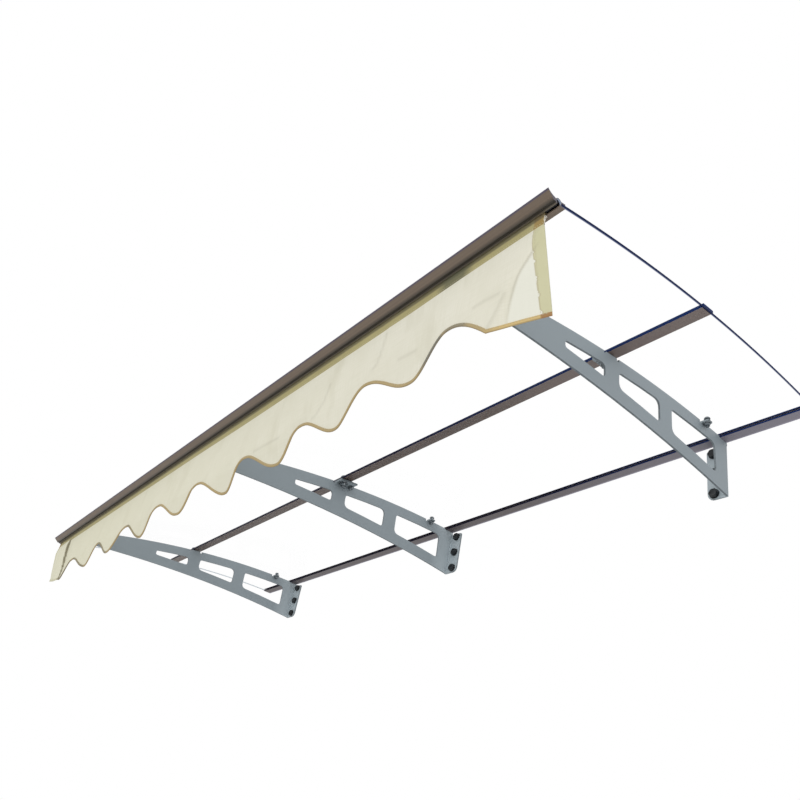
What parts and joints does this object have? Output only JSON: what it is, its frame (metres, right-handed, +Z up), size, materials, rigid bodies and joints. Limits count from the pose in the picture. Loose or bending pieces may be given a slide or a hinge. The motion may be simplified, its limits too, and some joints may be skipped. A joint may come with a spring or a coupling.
{
  "type": "window awning",
  "caption": "Wall-mounted window awning: cut steel brackets carry a clear arched sheet between long rails, with a wave-edged cloth valance hung from the front rail.",
  "frame": {"origin": "on the back of the middle bracket's wall flange, between its low and middle bolts", "axes": "+X along the awning to the right end seen from the front, +Y into the wall, +Z up; the wall is the plane y = 0"},
  "size_m": [2.0073, 0.7518, 0.2631],
  "materials": {
    "bracket_steel": "satin blue-grey paint on steel plate",
    "clear_plastic": "clear solid polycarbonate",
    "rail_brown": "brown coated aluminium",
    "valance_cloth": "cream woven cloth with a tan bound edge",
    "rod_plastic": "black plastic",
    "bolt_black": "blackened steel",
    "fixing_steel": "dark zinc-plated steel"
  },
  "bodies": {
    "root": {"bracket_left": "bracket_steel", "bracket_middle": "bracket_steel", "bracket_right": "bracket_steel", "clear_sheet": "clear_plastic", "front_rail": "rail_brown", "keeper_bolt_middle": "fixing_steel", "keeper_nut_middle": "fixing_steel", "keeper_washer_middle": "fixing_steel", "middle_rail": "rail_brown", "rail_bolt_left": "fixing_steel", "rail_bolt_middle": "fixing_steel", "rail_bolt_right": "fixing_steel", "rail_nut_left": "fixing_steel", "rail_nut_middle": "fixing_steel", "rail_nut_right": "fixing_steel", "rail_washer_left": "fixing_steel", "rail_washer_middle": "fixing_steel", "rail_washer_right": "fixing_steel", "rear_rail": "rail_brown", "sheet_bolt_left": "fixing_steel", "sheet_bolt_middle": "fixing_steel", "sheet_bolt_right": "fixing_steel", "sheet_nut_left": "fixing_steel", "sheet_nut_middle": "fixing_steel", "sheet_nut_right": "fixing_steel", "sheet_washer_left": "fixing_steel", "sheet_washer_middle": "fixing_steel", "sheet_washer_right": "fixing_steel", "valance": "valance_cloth", "valance_rod": "rod_plastic", "wall_bolt_left_low": "bolt_black", "wall_bolt_left_middle": "bolt_black", "wall_bolt_left_top": "bolt_black", "wall_bolt_middle_low": "bolt_black", "wall_bolt_middle_middle": "bolt_black", "wall_bolt_middle_top": "bolt_black", "wall_bolt_right_low": "bolt_black", "wall_bolt_right_middle": "bolt_black", "wall_bolt_right_top": "bolt_black"}
  },
  "joints": []
}
